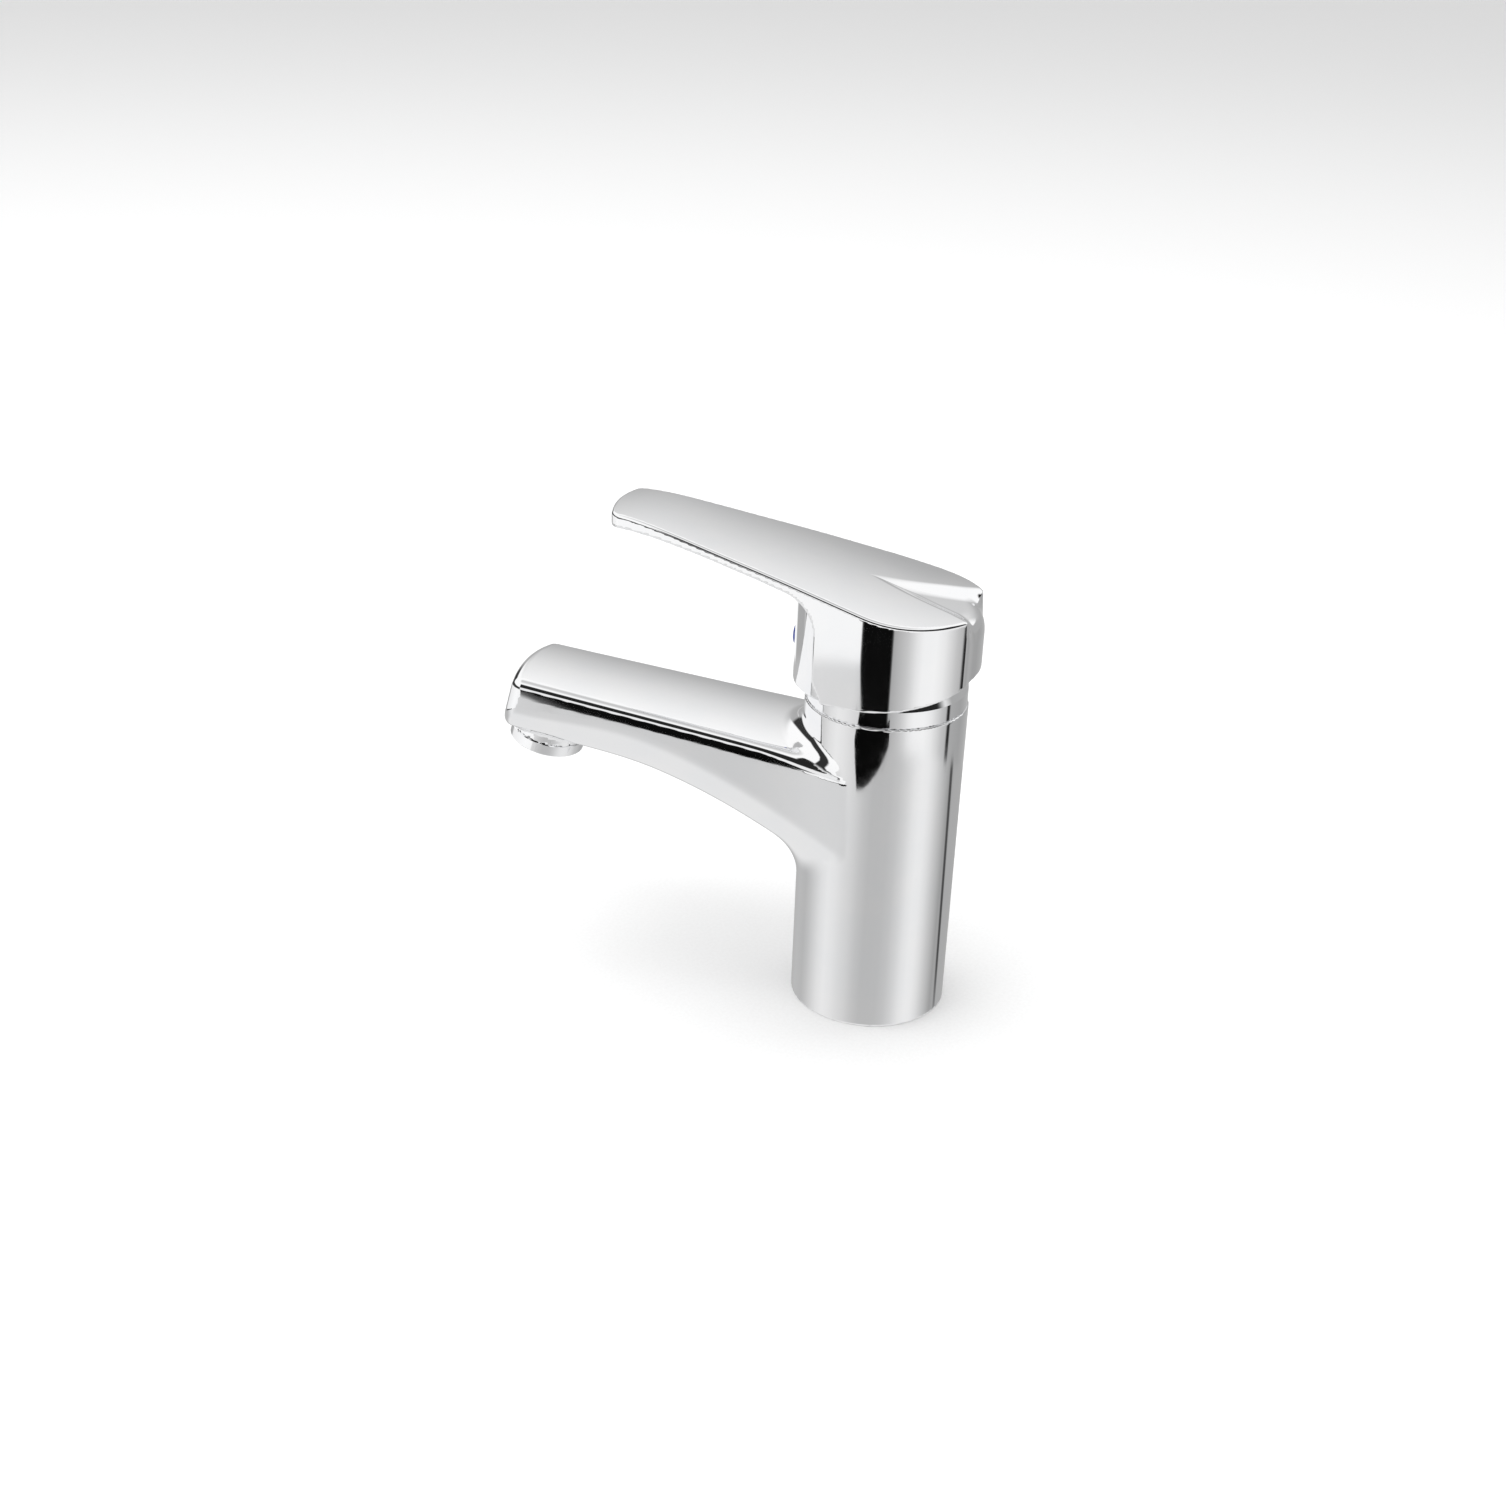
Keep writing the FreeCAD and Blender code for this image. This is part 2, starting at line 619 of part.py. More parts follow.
def aerator_ring():
    body = aerator_body("aerator_ring")
    thread_top = "aerator_ring_height + aerator_thread_length"
    revolve(body, [
        ("aerator_bore - 1", 0),
        ("aerator_radius - 0.4", 0),
        ("aerator_radius", 0.4),
        ("aerator_radius", "aerator_ring_height - 0.3"),
        ("aerator_radius - 0.3", "aerator_ring_height"),
        ("aerator_thread_radius", "aerator_ring_height"),
        ("aerator_thread_radius", thread_top),
        ("aerator_bore", thread_top),
        ("aerator_bore", 1.2),
        ("aerator_bore - 1", 1.2),
    ])
    return body


def aerator_insert():
    """Plastic flow straightener with rings of small holes."""
    body = aerator_body("aerator_insert")
    primitive(body, "AdditiveCylinder", z=1.2, Radius="aerator_bore - thread_gap", Height=6)
    for count, reach in ((1, 0), (6, 2.6), (12, 5.1), (18, 7.5)):
        sketch = new_sketch(body, "XY", 1.2)
        circle(sketch, reach, 0, 0.85)
        hole = extrude(body, sketch, 6, cut=True, backwards=True)
        if count > 1:
            ring = new_feature(body, "PolarPattern", "Ring")
            ring.Originals = [hole]
            ring.Axis = (sketch, ["N_Axis"])
            ring.Angle = FULL_TURN
            ring.Occurrences = count
            body.Tip = ring
            doc.recompute()
    return body


def aerator_mesh():
    body = aerator_body("aerator_mesh")
    primitive(body, "AdditiveCylinder", z=7.2, Radius="aerator_bore - thread_gap", Height=0.6)
    return body


def aerator_washer():
    body = aerator_body("aerator_washer")
    low = "aerator_ring_height + aerator_thread_length"
    primitive(body, "AdditiveCylinder", z=low, Radius="aerator_thread_radius - 0.1", Height=1.8)
    primitive(body, "SubtractiveCylinder", z=low, Radius="aerator_bore", Height=1.8)
    return body


# ---------------------------------------------------------------- handle

# distance in front of the body axis and height, along the crowned top from tip to back
HANDLE_TOP = [(92, 156.4), (80, 155.9), (60, 152.6), (30, 146.3), (5, 140.0), (-14, 137.2), (-34, 134.6)]
# the same along the underside of the lever and down the front of its side walls
LEVER_UNDERSIDE = [(92, 151.6), (78, 151.5), (60, 149.0), (40, 144.9), (29, 141.8), (24, 139.3),
                   (20.4, 135.6), ("front_step", 130.0), ("front_step", 114.0), (16, 109.0), (12, 104.0)]
# distance behind the body axis, half width and floor height of the scoop in the top
SCOOP = [("-scoop_apex", 0.4, 141.6), (3, 3.2, 138.9), (12, 6.9, 135.9), (20, 10.2, 132.9),
         (25, "scoop_width", 129.6), (28, "scoop_width + 0.6", 121.0), (30, "scoop_width + 0.8", 112.0)]
SCOOP_OPENING = 150
# distance behind the body axis and height of the rim
RIM = [(-100, "rim_z - 1.5"), (-29, "rim_z - 1.5"), (-12, "rim_z - 0.4"), (2, "rim_z + 0.3"),
       (12, "rim_z + 1.6"), (20, "rim_z + 3.5"), (26, "rim_z + 6"), (31, "rim_z + 10")]
# heights below and above everything in the handle, between which its outline is raised and cut
PLAN_LEVEL = 100
SKY = 175


def turned_cut(body, corners):
    """Cut an outline in the middle plane, turned about the axis that gives the crown."""
    sketch = new_sketch(body, "YZ")
    sketch.AttachmentOffset = Placement(Vector(0, size("crown_axis_z"), 0), Rotation())
    bind(sketch, AttachmentOffset__Base__y="crown_axis_z")
    polygon(sketch, [(f"-({y})", f"{z} - crown_axis_z") for y, z in corners])
    feature = new_feature(body, "Groove", "Crowned")
    feature.Profile = sketch
    feature.ReferenceAxis = (sketch, ["H_Axis"])
    feature.Angle = FULL_TURN
    doc.recompute()
    return feature


def handle_plan(body):
    """Outline from above: round base and a lever that tapers to an arched tip."""
    sketch = new_sketch(body, "XY", PLAN_LEVEL)
    radius, tip, width = size("handle_radius"), size("lever_tip"), size("lever_tip_width")
    touch = Vector(radius * 0.98, -radius * 0.2, 0)
    corner = Vector(width, 3 - tip, 0)
    left_touch = Vector(-touch.x, touch.y, 0)
    left_corner = Vector(-corner.x, corner.y, 0)
    sketch.addGeometry(Part.Arc(touch, Vector(0, radius, 0), left_touch), False)
    sketch.addGeometry(Part.LineSegment(left_touch, left_corner), False)
    sketch.addGeometry(Part.Arc(left_corner, Vector(0, -tip, 0), corner), False)
    sketch.addGeometry(Part.LineSegment(corner, touch), False)
    join_ends(sketch, "Tangent", "Coincident")
    hold_point(sketch, 0, 3, 0, 0)
    hold(sketch, "Radius", 0, "handle_radius")
    hold_point(sketch, 1, 2, "-lever_tip_width", "3 - lever_tip")
    hold_point(sketch, 3, 1, "lever_tip_width", "3 - lever_tip")
    hold(sketch, "Radius", 2, "(lever_tip_width^2 + 9) / 6")
    return extrude(body, sketch, SKY - PLAN_LEVEL)


def scoop(body):
    """Wedge-shaped hollow that widens from a point on the top down the back."""
    sections = []
    for back, half, floor in SCOOP:
        sketch = new_sketch(body, "XZ", f"-({back})")
        polygon(sketch, [(f"-({half})", floor), (half, floor), (f"{half} + 3", SCOOP_OPENING),
                         (f"-({half}) - 3", SCOOP_OPENING)])
        sections.append(sketch)
    feature = new_feature(body, "SubtractiveLoft", "Scoop")
    feature.Profile = sections[0]
    feature.Sections = sections[1:]
    doc.recompute()


def handle():
    """Zinc handle: hollow round base over the cartridge and a solid lever."""
    body = new_body("handle")
    handle_plan(body)
    turned_cut(body, LEVER_UNDERSIDE + [(12, 90), (100, 90), (100, 151.6)])
    primitive(body, "AdditiveCylinder", z=PLAN_LEVEL, Radius="handle_radius", Height=45)
    turned_cut(body, HANDLE_TOP + [(-34, SKY + 20), (92, SKY + 20)])
    trim_rim(body)
    scoop(body)
    hollow_base(body)
    return body


def trim_rim(body):
    """Rim that rises towards the back, to clear the body when the lever is lifted."""
    sketch = new_sketch(body, "YZ")
    polygon(sketch, [(-100, 90)] + RIM + [(31, 90)])
    extrude(body, sketch, 120, cut=True, midplane=True)


def hollow_base(body):
    """Space for the bonnet ring and the cartridge, and the boss that takes the stem."""
    inner = "handle_radius - handle_wall"
    socket_half = "(stem_half + thread_gap)"
    primitive(body, "SubtractiveCylinder", z=95, Radius=inner, Height="cavity_shoulder - 95")
    primitive(body, "SubtractiveCone", z="cavity_shoulder", Radius1=inner, Radius2=f"{inner} - 7",
              Height="cavity_top - cavity_shoulder")
    primitive(body, "AdditiveBox", x="-boss_half", y=f"-({inner}) - 0.5", z="boss_low",
              Length="2 * boss_half", Width=f"{inner} + boss_back + 0.5", Height="cavity_top + 1 - boss_low")
    primitive(body, "SubtractiveBox", x=f"-{socket_half}", y=f"-{socket_half}", z="boss_low - 2",
              Length=f"2 * {socket_half}", Width=f"2 * {socket_half}",
              Height="stem_top + thread_gap - boss_low + 2")
    primitive(body, "SubtractiveCylinder", y="-handle_radius - 2", z="screw_z", rotation=ALONG_Y,
              Radius="screw_radius + thread_gap", Height="handle_radius")
    primitive(body, "SubtractiveCylinder", y="-handle_radius - 2", z="screw_z", rotation=ALONG_Y,
              Radius="plug_radius + thread_gap", Height=7)


def set_screw():
    body = new_body("set_screw")
    primitive(body, "AdditiveCylinder", y="-screw_head", z="screw_z", rotation=ALONG_Y,
              Radius="screw_radius", Height="screw_head - stem_half - thread_gap")
    primitive(body, "SubtractivePrism", y="-screw_head", z="screw_z", rotation=ALONG_Y,
              Circumradius="screw_hex / sqrt(3)", Height="screw_hex")
    return body


def index_plug():
    body = new_body("index_plug")
    place(body, y="-handle_radius - 0.8", z="screw_z", rotation=ALONG_Y)
    revolve(body, [(0, 0), ("plug_radius - 0.8", 0.1), ("plug_radius", 0.8), ("plug_radius", 5.4), (0, 5.4)])
    return body


PIECES = [
    casting, base_gasket, cartridge_base, fixed_disc, moving_disc, disc_carrier, swivel_guide, pivot_pin,
    stem, cartridge_housing, neck_seal, retaining_nut, bonnet_ring, ring_seal,
    aerator_ring, aerator_insert, aerator_mesh, aerator_washer, handle, set_screw, index_plug,
]


def check(bodies):
    doc.recompute()
    for item in doc.Objects:
        if "Invalid" in item.State or "Error" in item.State:
            raise RuntimeError(f"{item.Label}: {item.getStatusString()}")
    for body in bodies:
        if body.Shape.isNull() or not body.Shape.isValid() or len(body.Shape.Solids) != 1:
            raise RuntimeError(f"{body.Label} is not one valid solid")


def main():
    bodies = [make() for make in PIECES]
    bodies += [port_seal(name) for name in PORTS]
    check(bodies)
    os.makedirs(OUT, exist_ok=True)
    for body in bodies:
        body.Shape.exportStep(os.path.join(OUT, body.Label + ".step"))
        print(body.Label, round(body.Shape.Volume), "mm3")


main()
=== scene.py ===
import math

import bpy
import numpy as np
from mathutils import Matrix, Vector


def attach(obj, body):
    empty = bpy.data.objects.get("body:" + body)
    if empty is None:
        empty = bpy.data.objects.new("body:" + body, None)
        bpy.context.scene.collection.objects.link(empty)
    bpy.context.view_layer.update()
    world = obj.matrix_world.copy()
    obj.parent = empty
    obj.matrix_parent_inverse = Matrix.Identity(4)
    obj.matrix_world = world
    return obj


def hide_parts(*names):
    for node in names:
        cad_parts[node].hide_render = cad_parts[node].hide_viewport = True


# Single-lever basin mixer. Lengths are in millimetres until a mesh is made; MM turns them into metres.
# +Z is up, the spout points along -Y and the origin is on the body axis at the mounting face.

MM = 0.001

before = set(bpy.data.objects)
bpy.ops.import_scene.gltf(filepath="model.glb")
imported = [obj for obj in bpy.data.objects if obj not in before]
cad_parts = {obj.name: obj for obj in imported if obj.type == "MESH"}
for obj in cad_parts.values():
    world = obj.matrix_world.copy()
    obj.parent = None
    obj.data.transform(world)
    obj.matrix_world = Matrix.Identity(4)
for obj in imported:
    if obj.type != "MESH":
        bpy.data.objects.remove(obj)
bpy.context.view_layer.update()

BODY_RADIUS = 25.0
FOOT_RADIUS = 24.7
BODY_HEIGHT = 103.2
HANDLE_RADIUS = 28.8
AERATOR_RADIUS = 12.0
AERATOR_RING = 4.0
OUTLET = np.array([0.0, -110.05, 72.7])
OUTLET_TILT = math.radians(14.1)


# ---------------------------------------------------------------- implicit surfaces

def round_max(a, b, radius):
    """Intersection of two fields whose shared edge is rounded."""
    over = np.hypot(np.maximum(a + radius, 0), np.maximum(b + radius, 0))
    return np.minimum(np.maximum(a, b), -radius) + over


def round_min(a, b, radius, cosine=0.0):
    """Union of two fields with a concave fillet; cosine is that of the angle between their normals."""
    one, two = radius - a, radius - b
    over = np.sqrt(np.maximum(one ** 2 + two ** 2 - 2 * cosine * one * two, 0) / (1 - cosine ** 2))
    inside_corner = (one > cosine * two) & (two > cosine * one)
    return np.where(inside_corner, radius - over, np.minimum(a, b))


def ease(value):
    """Smooth step from 0 to 1."""
    value = np.clip(value, 0, 1)
    return value * value * (3 - 2 * value)


def spline(points):
    """Natural cubic spline through points, straight beyond its ends."""
    xs, ys = (np.array(column, float) for column in zip(*sorted(points)))
    steps = np.diff(xs)
    slopes = np.diff(ys) / steps
    count = len(xs)
    system = np.eye(count)
    bend = np.zeros(count)
    for i in range(1, count - 1):
        system[i, i - 1:i + 2] = steps[i - 1], 2 * (steps[i - 1] + steps[i]), steps[i]
        bend[i] = 6 * (slopes[i] - slopes[i - 1])
    bend = np.linalg.solve(system, bend)

    def curve(x):
        inside = np.clip(x, xs[0], xs[-1])
        i = np.clip(np.searchsorted(xs, inside) - 1, 0, count - 2)
        h, left, right = steps[i], xs[i + 1] - inside, inside - xs[i]
        value = (bend[i] * left ** 3 + bend[i + 1] * right ** 3) / (6 * h)
        value += (ys[i] / h - bend[i] * h / 6) * left + (ys[i + 1] / h - bend[i + 1] * h / 6) * right
        first = slopes[0] - bend[1] * steps[0] / 6
        last = slopes[-1] + bend[-2] * steps[-1] / 6
        return value + first * np.minimum(x - xs[0], 0) + last * np.maximum(x - xs[-1], 0)

    return curve


def cylinder(x, y, radius):
    return np.hypot(x, y) - radius


def gradient(field, spots, reach=0.02):
    """Unit normals and slopes of a field at points."""
    parts = []
    for axis in range(3):
        step = np.zeros(3)
        step[axis] = reach
        ahead, behind = (spots + step).T, (spots - step).T
        parts.append((field(*ahead) - field(*behind)) / (2 * reach))
    slope = np.stack(parts, axis=1)
    length = np.linalg.norm(slope, axis=1, keepdims=True)
    return slope / np.maximum(length, 1e-9), length[:, 0]


def surface_net(field, low, high, step):
    """Vertices and quads of a field's zero surface, one vertex in each crossed cell."""
    axes = [np.arange(a, b + step, step) for a, b in zip(low, high)]
    value = field(*np.meshgrid(*axes, indexing="ij", sparse=True))
    value = np.broadcast_to(value, [len(axis) for axis in axes])
    inside = value < 0
    corners = [(i, j, k) for i in (0, 1) for j in (0, 1) for k in (0, 1)]
    across, along, up = (size - 1 for size in inside.shape)
    count = sum(inside[i:across + i, j:along + j, k:up + k].astype(np.int8) for i, j, k in corners)
    cells = np.argwhere((count > 0) & (count < 8))
    number = np.full(count.shape, -1, np.int32)
    number[tuple(cells.T)] = np.arange(len(cells))
    total = np.zeros((len(cells), 3))
    hits = np.zeros(len(cells))
    for a in corners:
        for axis in range(3):
            if a[axis]:
                continue
            b = tuple(1 if i == axis else a[i] for i in range(3))
            va = value[tuple((cells + a).T)]
            vb = value[tuple((cells + b).T)]
            crossed = (va < 0) != (vb < 0)
            share = np.where(crossed, va / np.where(crossed, va - vb, 1), 0)
            spot = np.array(a, float) + share[:, None] * (np.array(b) - np.array(a))
            total += np.where(crossed[:, None], spot, 0)
            hits += crossed
    spots = np.array(low) + step * (cells + total / hits[:, None])
    quads = []
    for axis in range(3):
        one, two = (axis + 1) % 3, (axis + 2) % 3
        ahead = np.roll(inside, -1, axis)
        crossed = inside != ahead
        index = [slice(1, -1)] * 3
        index[axis] = slice(0, -1)
        where = np.argwhere(crossed[tuple(index)])
        where += [0 if i == axis else 1 for i in range(3)]
        ring = []
        for shift_one, shift_two in ((-1, -1), (0, -1), (0, 0), (-1, 0)):
            cell = where.copy()
            cell[:, one] += shift_one
            cell[:, two] += shift_two
            ring.append(number[tuple(cell.T)])
        ring = np.stack(ring, axis=1)
        outwards = inside[tuple(where.T)]
        quads.append(np.where(outwards[:, None], ring, ring[:, ::-1]))
    return spots, np.concatenate(quads)


def implicit_piece(name, field, low, high, step):
    """Object whose vertices lie on a field's zero surface and whose normals follow it."""
    spots, quads = surface_net(field, low, high, step)
    for _ in range(4):
        normal, slope = gradient(field, spots)
        move = field(*spots.T) / np.maximum(slope, 0.3)
        spots -= normal * np.clip(move, -0.5 * step, 0.5 * step)[:, None]
    normal, _ = gradient(field, spots)
    mesh = bpy.data.meshes.new(name)
    mesh.from_pydata(spots * MM, [], quads.tolist())
    mesh.validate()
    mesh.shade_smooth()
    mesh.normals_split_custom_set_from_vertices(normal)
    piece = bpy.data.objects.new(name, mesh)
    bpy.context.collection.objects.link(piece)
    return piece


# ---------------------------------------------------------------- body

SPOUT_TIP = 117.6
# height about which the end of the spout leans
SPOUT_LEVEL = 98.0
SPOUT_HALF_WIDTH = 21.6
SPOUT_TAPER = 0.034
SPOUT_TOP = 86.6
SPOUT_RISE = 0.11
# each against the distance in front of the body axis: height of the underside, radius of the lower
# corners, and how far each side widens towards the column
SPOUT_UNDERSIDE = spline([(118, 81.4), (106, 78.6), (95, 76.2), (80, 72.8), (64, 68.2), (50, 63.2),
                          (38, 58.0), (10, 44.0)])
SPOUT_CORNER = spline([(120, 9.0), (105, 11.5), (92, 14.5), (78, 17.0), (50, 18.0), (0, 18.0)])
SPOUT_FLARE = spline([(120, 0.0), (80, 0.0), (50, 0.05), (40, 0.15), (30, 0.45), (20, 1.15), (14, 1.85),
                      (10, 2.35), (6, 2.8), (0, 3.1)])
# step for the slope of the spout's field
PROBE = 0.05
# rounding of the upper and lower rims of the column
COLUMN_RIM = 0.35


def along_outlet(x, y, z):
    """Height above the aerator's rim and distance from its axis."""
    up = math.cos(OUTLET_TILT)
    back = math.sin(OUTLET_TILT)
    dy, dz = y - OUTLET[1], z - OUTLET[2]
    return dy * back + dz * up, np.hypot(x, dy * up - dz * back)


def spout_field(x, y, z):
    """Spout with a crowned top, rounded edges and a bowed end; it stops at the body axis."""
    lean = OUTLET_TILT * ease((-y - 70) / 42)
    reach = -y - (SPOUT_LEVEL - z) * np.tan(lean)
    half = SPOUT_HALF_WIDTH - SPOUT_TAPER * reach + SPOUT_FLARE(reach)
    top = SPOUT_TOP + SPOUT_RISE * reach + (half ** 2 - x ** 2) / 230
    side = np.abs(x) - half + 0.012 * np.maximum(z - top + 5, 0) ** 2
    field = round_max(side, z - top, 2.4 + 2.0 * ease((y + 36) / 22))
    field = round_max(field, SPOUT_UNDERSIDE(reach) - z, SPOUT_CORNER(reach))
    tip = reach - SPOUT_TIP + 0.0085 * x ** 2
    return np.maximum(round_max(field, tip, 3.2), y)


def body_field(x, y, z):
    """Casting: column and spout with a fillet that is widest under the spout and along its sides."""
    column = cylinder(x, y, FOOT_RADIUS + (BODY_RADIUS - FOOT_RADIUS) * z / BODY_HEIGHT)
    spout = spout_field(x, y, z)
    dx = (spout_field(x + PROBE, y, z) - spout) / PROBE
    dy = (spout_field(x, y + PROBE, z) - spout) / PROBE
    cosine = np.clip((dx * x + dy * y) / np.maximum(np.hypot(x, y), 1), -0.98, 0.98)
    upright = ease(dx ** 2 + dy ** 2)
    blend = 0.3 + (6.2 + 13.5 * ease((80 - z) / 22) + 8 * upright) * ease((-y - 4) / 5)
    field = round_min(column, spout, blend, cosine)
    height, radius = along_outlet(x, y, z)
    boss = np.maximum(radius - AERATOR_RADIUS, np.maximum(AERATOR_RING - height, height - 15))
    field = round_min(field, boss, 0.5)
    field = round_max(field, z - BODY_HEIGHT, COLUMN_RIM)
    field = round_max(field, -z, COLUMN_RIM)
    return np.maximum(field, -body_bores(x, y, z, height, radius))


def tube(start, end, radius, x, y, z):
    """Round-ended channel between two points in the middle plane, given as (y, z)."""
    run_y, run_z = end[0] - start[0], end[1] - start[1]
    share = ((y - start[0]) * run_y + (z - start[1]) * run_z) / (run_y ** 2 + run_z ** 2)
    share = np.clip(share, 0, 1)
    off_y, off_z = y - start[0] - share * run_y, z - start[1] - share * run_z
    return np.sqrt(x ** 2 + off_y ** 2 + off_z ** 2) - radius


def drilled(x, y, radius, low, high, z):
    """Vertical hole between two heights."""
    return np.maximum(cylinder(x, y, radius), np.maximum(low - z, z - high))


# radius, lower and upper end of each step of the chamber
CHAMBER = ((17.7, 72.0, 94.0), (20.05, 93.5, 99.5), (22.6, 99.0, 110.0))
CHANNEL_RADIUS = 4.6
# (y, z) of the mixed-water port, the bend in the spout and the end over the aerator
CHANNEL = ((6.5, 53.0), (-45.0, 76.0), (-106.0, 86.7))
# radius and upper end of each step of the aerator seat, from the rim of the aerator
AERATOR_SEAT = ((10.95, 12.0), (9.2, 16.0))
INLET_SIDE, INLET_FRONT = 8.0, 4.5
# radius and depth of the passage and the thread of each inlet, and of the stud hole
INLET = ((2.5, 72.5), (4.5, 18.0))
STUD_BACK, STUD_RADIUS, STUD_DEPTH = 13.0, 3.4, 22.0
GROOVE_RADIUS, GROOVE_HALF_WIDTH, GROOVE_DEPTH = 21.0, 1.6, 3.0


def body_bores(x, y, z, height, radius):
    """Cartridge chamber, mixed-water channel, aerator seat and the holes and groove of the underside."""
    port, bend, end = CHANNEL
    holes = [drilled(x, y, bore, low, high, z) for bore, low, high in CHAMBER]
    holes += [
        drilled(x, y - port[0], CHANNEL_RADIUS, port[1], 72.5, z),
        tube(port, bend, CHANNEL_RADIUS, x, y, z),
        tube(bend, end, CHANNEL_RADIUS, x, y, z),
    ]
    for bore, top in AERATOR_SEAT:
        holes.append(np.maximum(radius - bore, np.maximum(-1 - height, height - top)))
    for bore, top in INLET:
        holes.append(drilled(np.abs(x) - INLET_SIDE, y + INLET_FRONT, bore, -1.0, top, z))
    holes += [
        drilled(x, y - STUD_BACK, STUD_RADIUS, -1.0, STUD_DEPTH, z),
        np.maximum(np.abs(cylinder(x, y, GROOVE_RADIUS)) - GROOVE_HALF_WIDTH, z - GROOVE_DEPTH),
    ]
    bores = holes[0]
    for hole in holes[1:]:
        bores = np.minimum(bores, hole)
    return bores


def body_piece():
    return implicit_piece("body_shell", body_field, (-26.5, -123.5, -1.2), (26.5, 26.5, 104.5), 0.8)


# ---------------------------------------------------------------- handle

LEVER_SLOPE = 0.185
# heights against y: side edges of the top, underside of the lever, floor of the scoop and lower rim
LEVER_EDGE = spline([(-92, 156.0), (-80, 155.7), (-66, 153.4), (-48, 149.4), (-28, 144.9), (-10, 140.5),
                     (3, 137.6), (14, 136.0), (30, 134.0)])
LEVER_UNDERSIDE = spline([(-92, 151.4), (-80, 151.6), (-66, 150.0), (-48, 146.4), (-34, 143.2),
                          (-20, 139.5), (0, 134.0)])
SCOOP_FLOOR = spline([(-12, 143.5), (-4.7, 141.2), (6, 138.1), (18, 135.4), (26, 134.2)])
RIM = spline([(-32, 108.2), (-14, 109.2), (2, 109.8), (12, 111.2), (20, 113.0), (27, 115.6), (34, 119.0)])
# distance of the front of the side walls from the body axis
FRONT_STEP = 18.4
LEVER_TIP = 86.2
HANDLE_WALL = 2.6
CAVITY_SHOULDER, CAVITY_TOP = 118, 129
BOSS_HALF_WIDTH, BOSS_BACK, BOSS_LOW = 6.5, 7.0, 112.6
SOCKET_HALF_WIDTH, SOCKET_TOP = 4.55, 128.05
SCREW_LEVEL, SCREW_RADIUS = 120.0, 2.55
PLUG_RADIUS, PLUG_DEPTH = 3.55, 23.8


def plan_field(x, y):
    """Signed distance to the handle's outline from above."""
    tilt = math.atan(LEVER_SLOPE)
    touch_y = -HANDLE_RADIUS * math.sin(tilt)
    touch_x = HANDLE_RADIUS * math.cos(tilt)
    taper = (np.abs(x) - touch_x - LEVER_SLOPE * (y - touch_y)) * math.cos(tilt)
    return np.where(y > touch_y, cylinder(x, y, HANDLE_RADIUS), taper)


def handle_field(x, y, z):
    """Handle: round base and tapered lever under one crowned top, with a scoop in the back."""
    plan = plan_field(x, y)
    tip = -y - LEVER_TIP + 0.013 * x ** 2
    lever = round_max(plan, tip, 2.2)
    front = FRONT_STEP - 3.5 * ease((117 - z) / 10)
    under = round_min(LEVER_UNDERSIDE(y) - z, -front - y, 9.0)
    lever = round_max(lever, under, 0.7)
    field = np.minimum(lever, cylinder(x, y, HANDLE_RADIUS))
    half = np.minimum(HANDLE_RADIUS, HANDLE_RADIUS + LEVER_SLOPE * (y + 5))
    top = LEVER_EDGE(y) + (half ** 2 - x ** 2) / 430
    field = round_max(field, z - top, 1.1)
    wedge = (np.abs(x) - 0.4 * (y + 5.4)) * 0.93
    flattened = cylinder(x, y, HANDLE_RADIUS - 0.2 - 0.007 * x ** 2)
    core = round_max(z - SCOOP_FLOOR(y), flattened, 7.0)
    hollow = round_max(wedge, -core, 5.0)
    field = round_max(field, -hollow, 3.0)
    field = round_max(field, RIM(y) - z, 0.6)
    return np.maximum(field, -handle_hollow(x, y, z))


def handle_hollow(x, y, z):
    """Space over the cartridge, with the boss that holds the stem, and the hole of the set screw."""
    narrowing = 7 * np.clip((z - CAVITY_SHOULDER) / (CAVITY_TOP - CAVITY_SHOULDER), 0, 1)
    space = np.maximum(cylinder(x, y, HANDLE_RADIUS - HANDLE_WALL - narrowing), z - CAVITY_TOP)
    boss = np.maximum(np.maximum(np.abs(x) - BOSS_HALF_WIDTH, y - BOSS_BACK), BOSS_LOW - z)
    space = np.maximum(space, -boss)
    socket = np.maximum(np.maximum(np.abs(x), np.abs(y)) - SOCKET_HALF_WIDTH, z - SOCKET_TOP)
    screw = np.maximum(cylinder(x, z - SCREW_LEVEL, SCREW_RADIUS), y)
    plug = np.maximum(cylinder(x, z - SCREW_LEVEL, PLUG_RADIUS), y + PLUG_DEPTH)
    return np.minimum(np.minimum(space, socket), np.minimum(screw, plug))


def handle_piece():
    return implicit_piece("handle_shell", handle_field, (-30.5, -89.5, 105.0), (30.5, 30.5, 160.0), 0.6)


# ---------------------------------------------------------------- materials

def grey(level):
    return level, level, level, 1


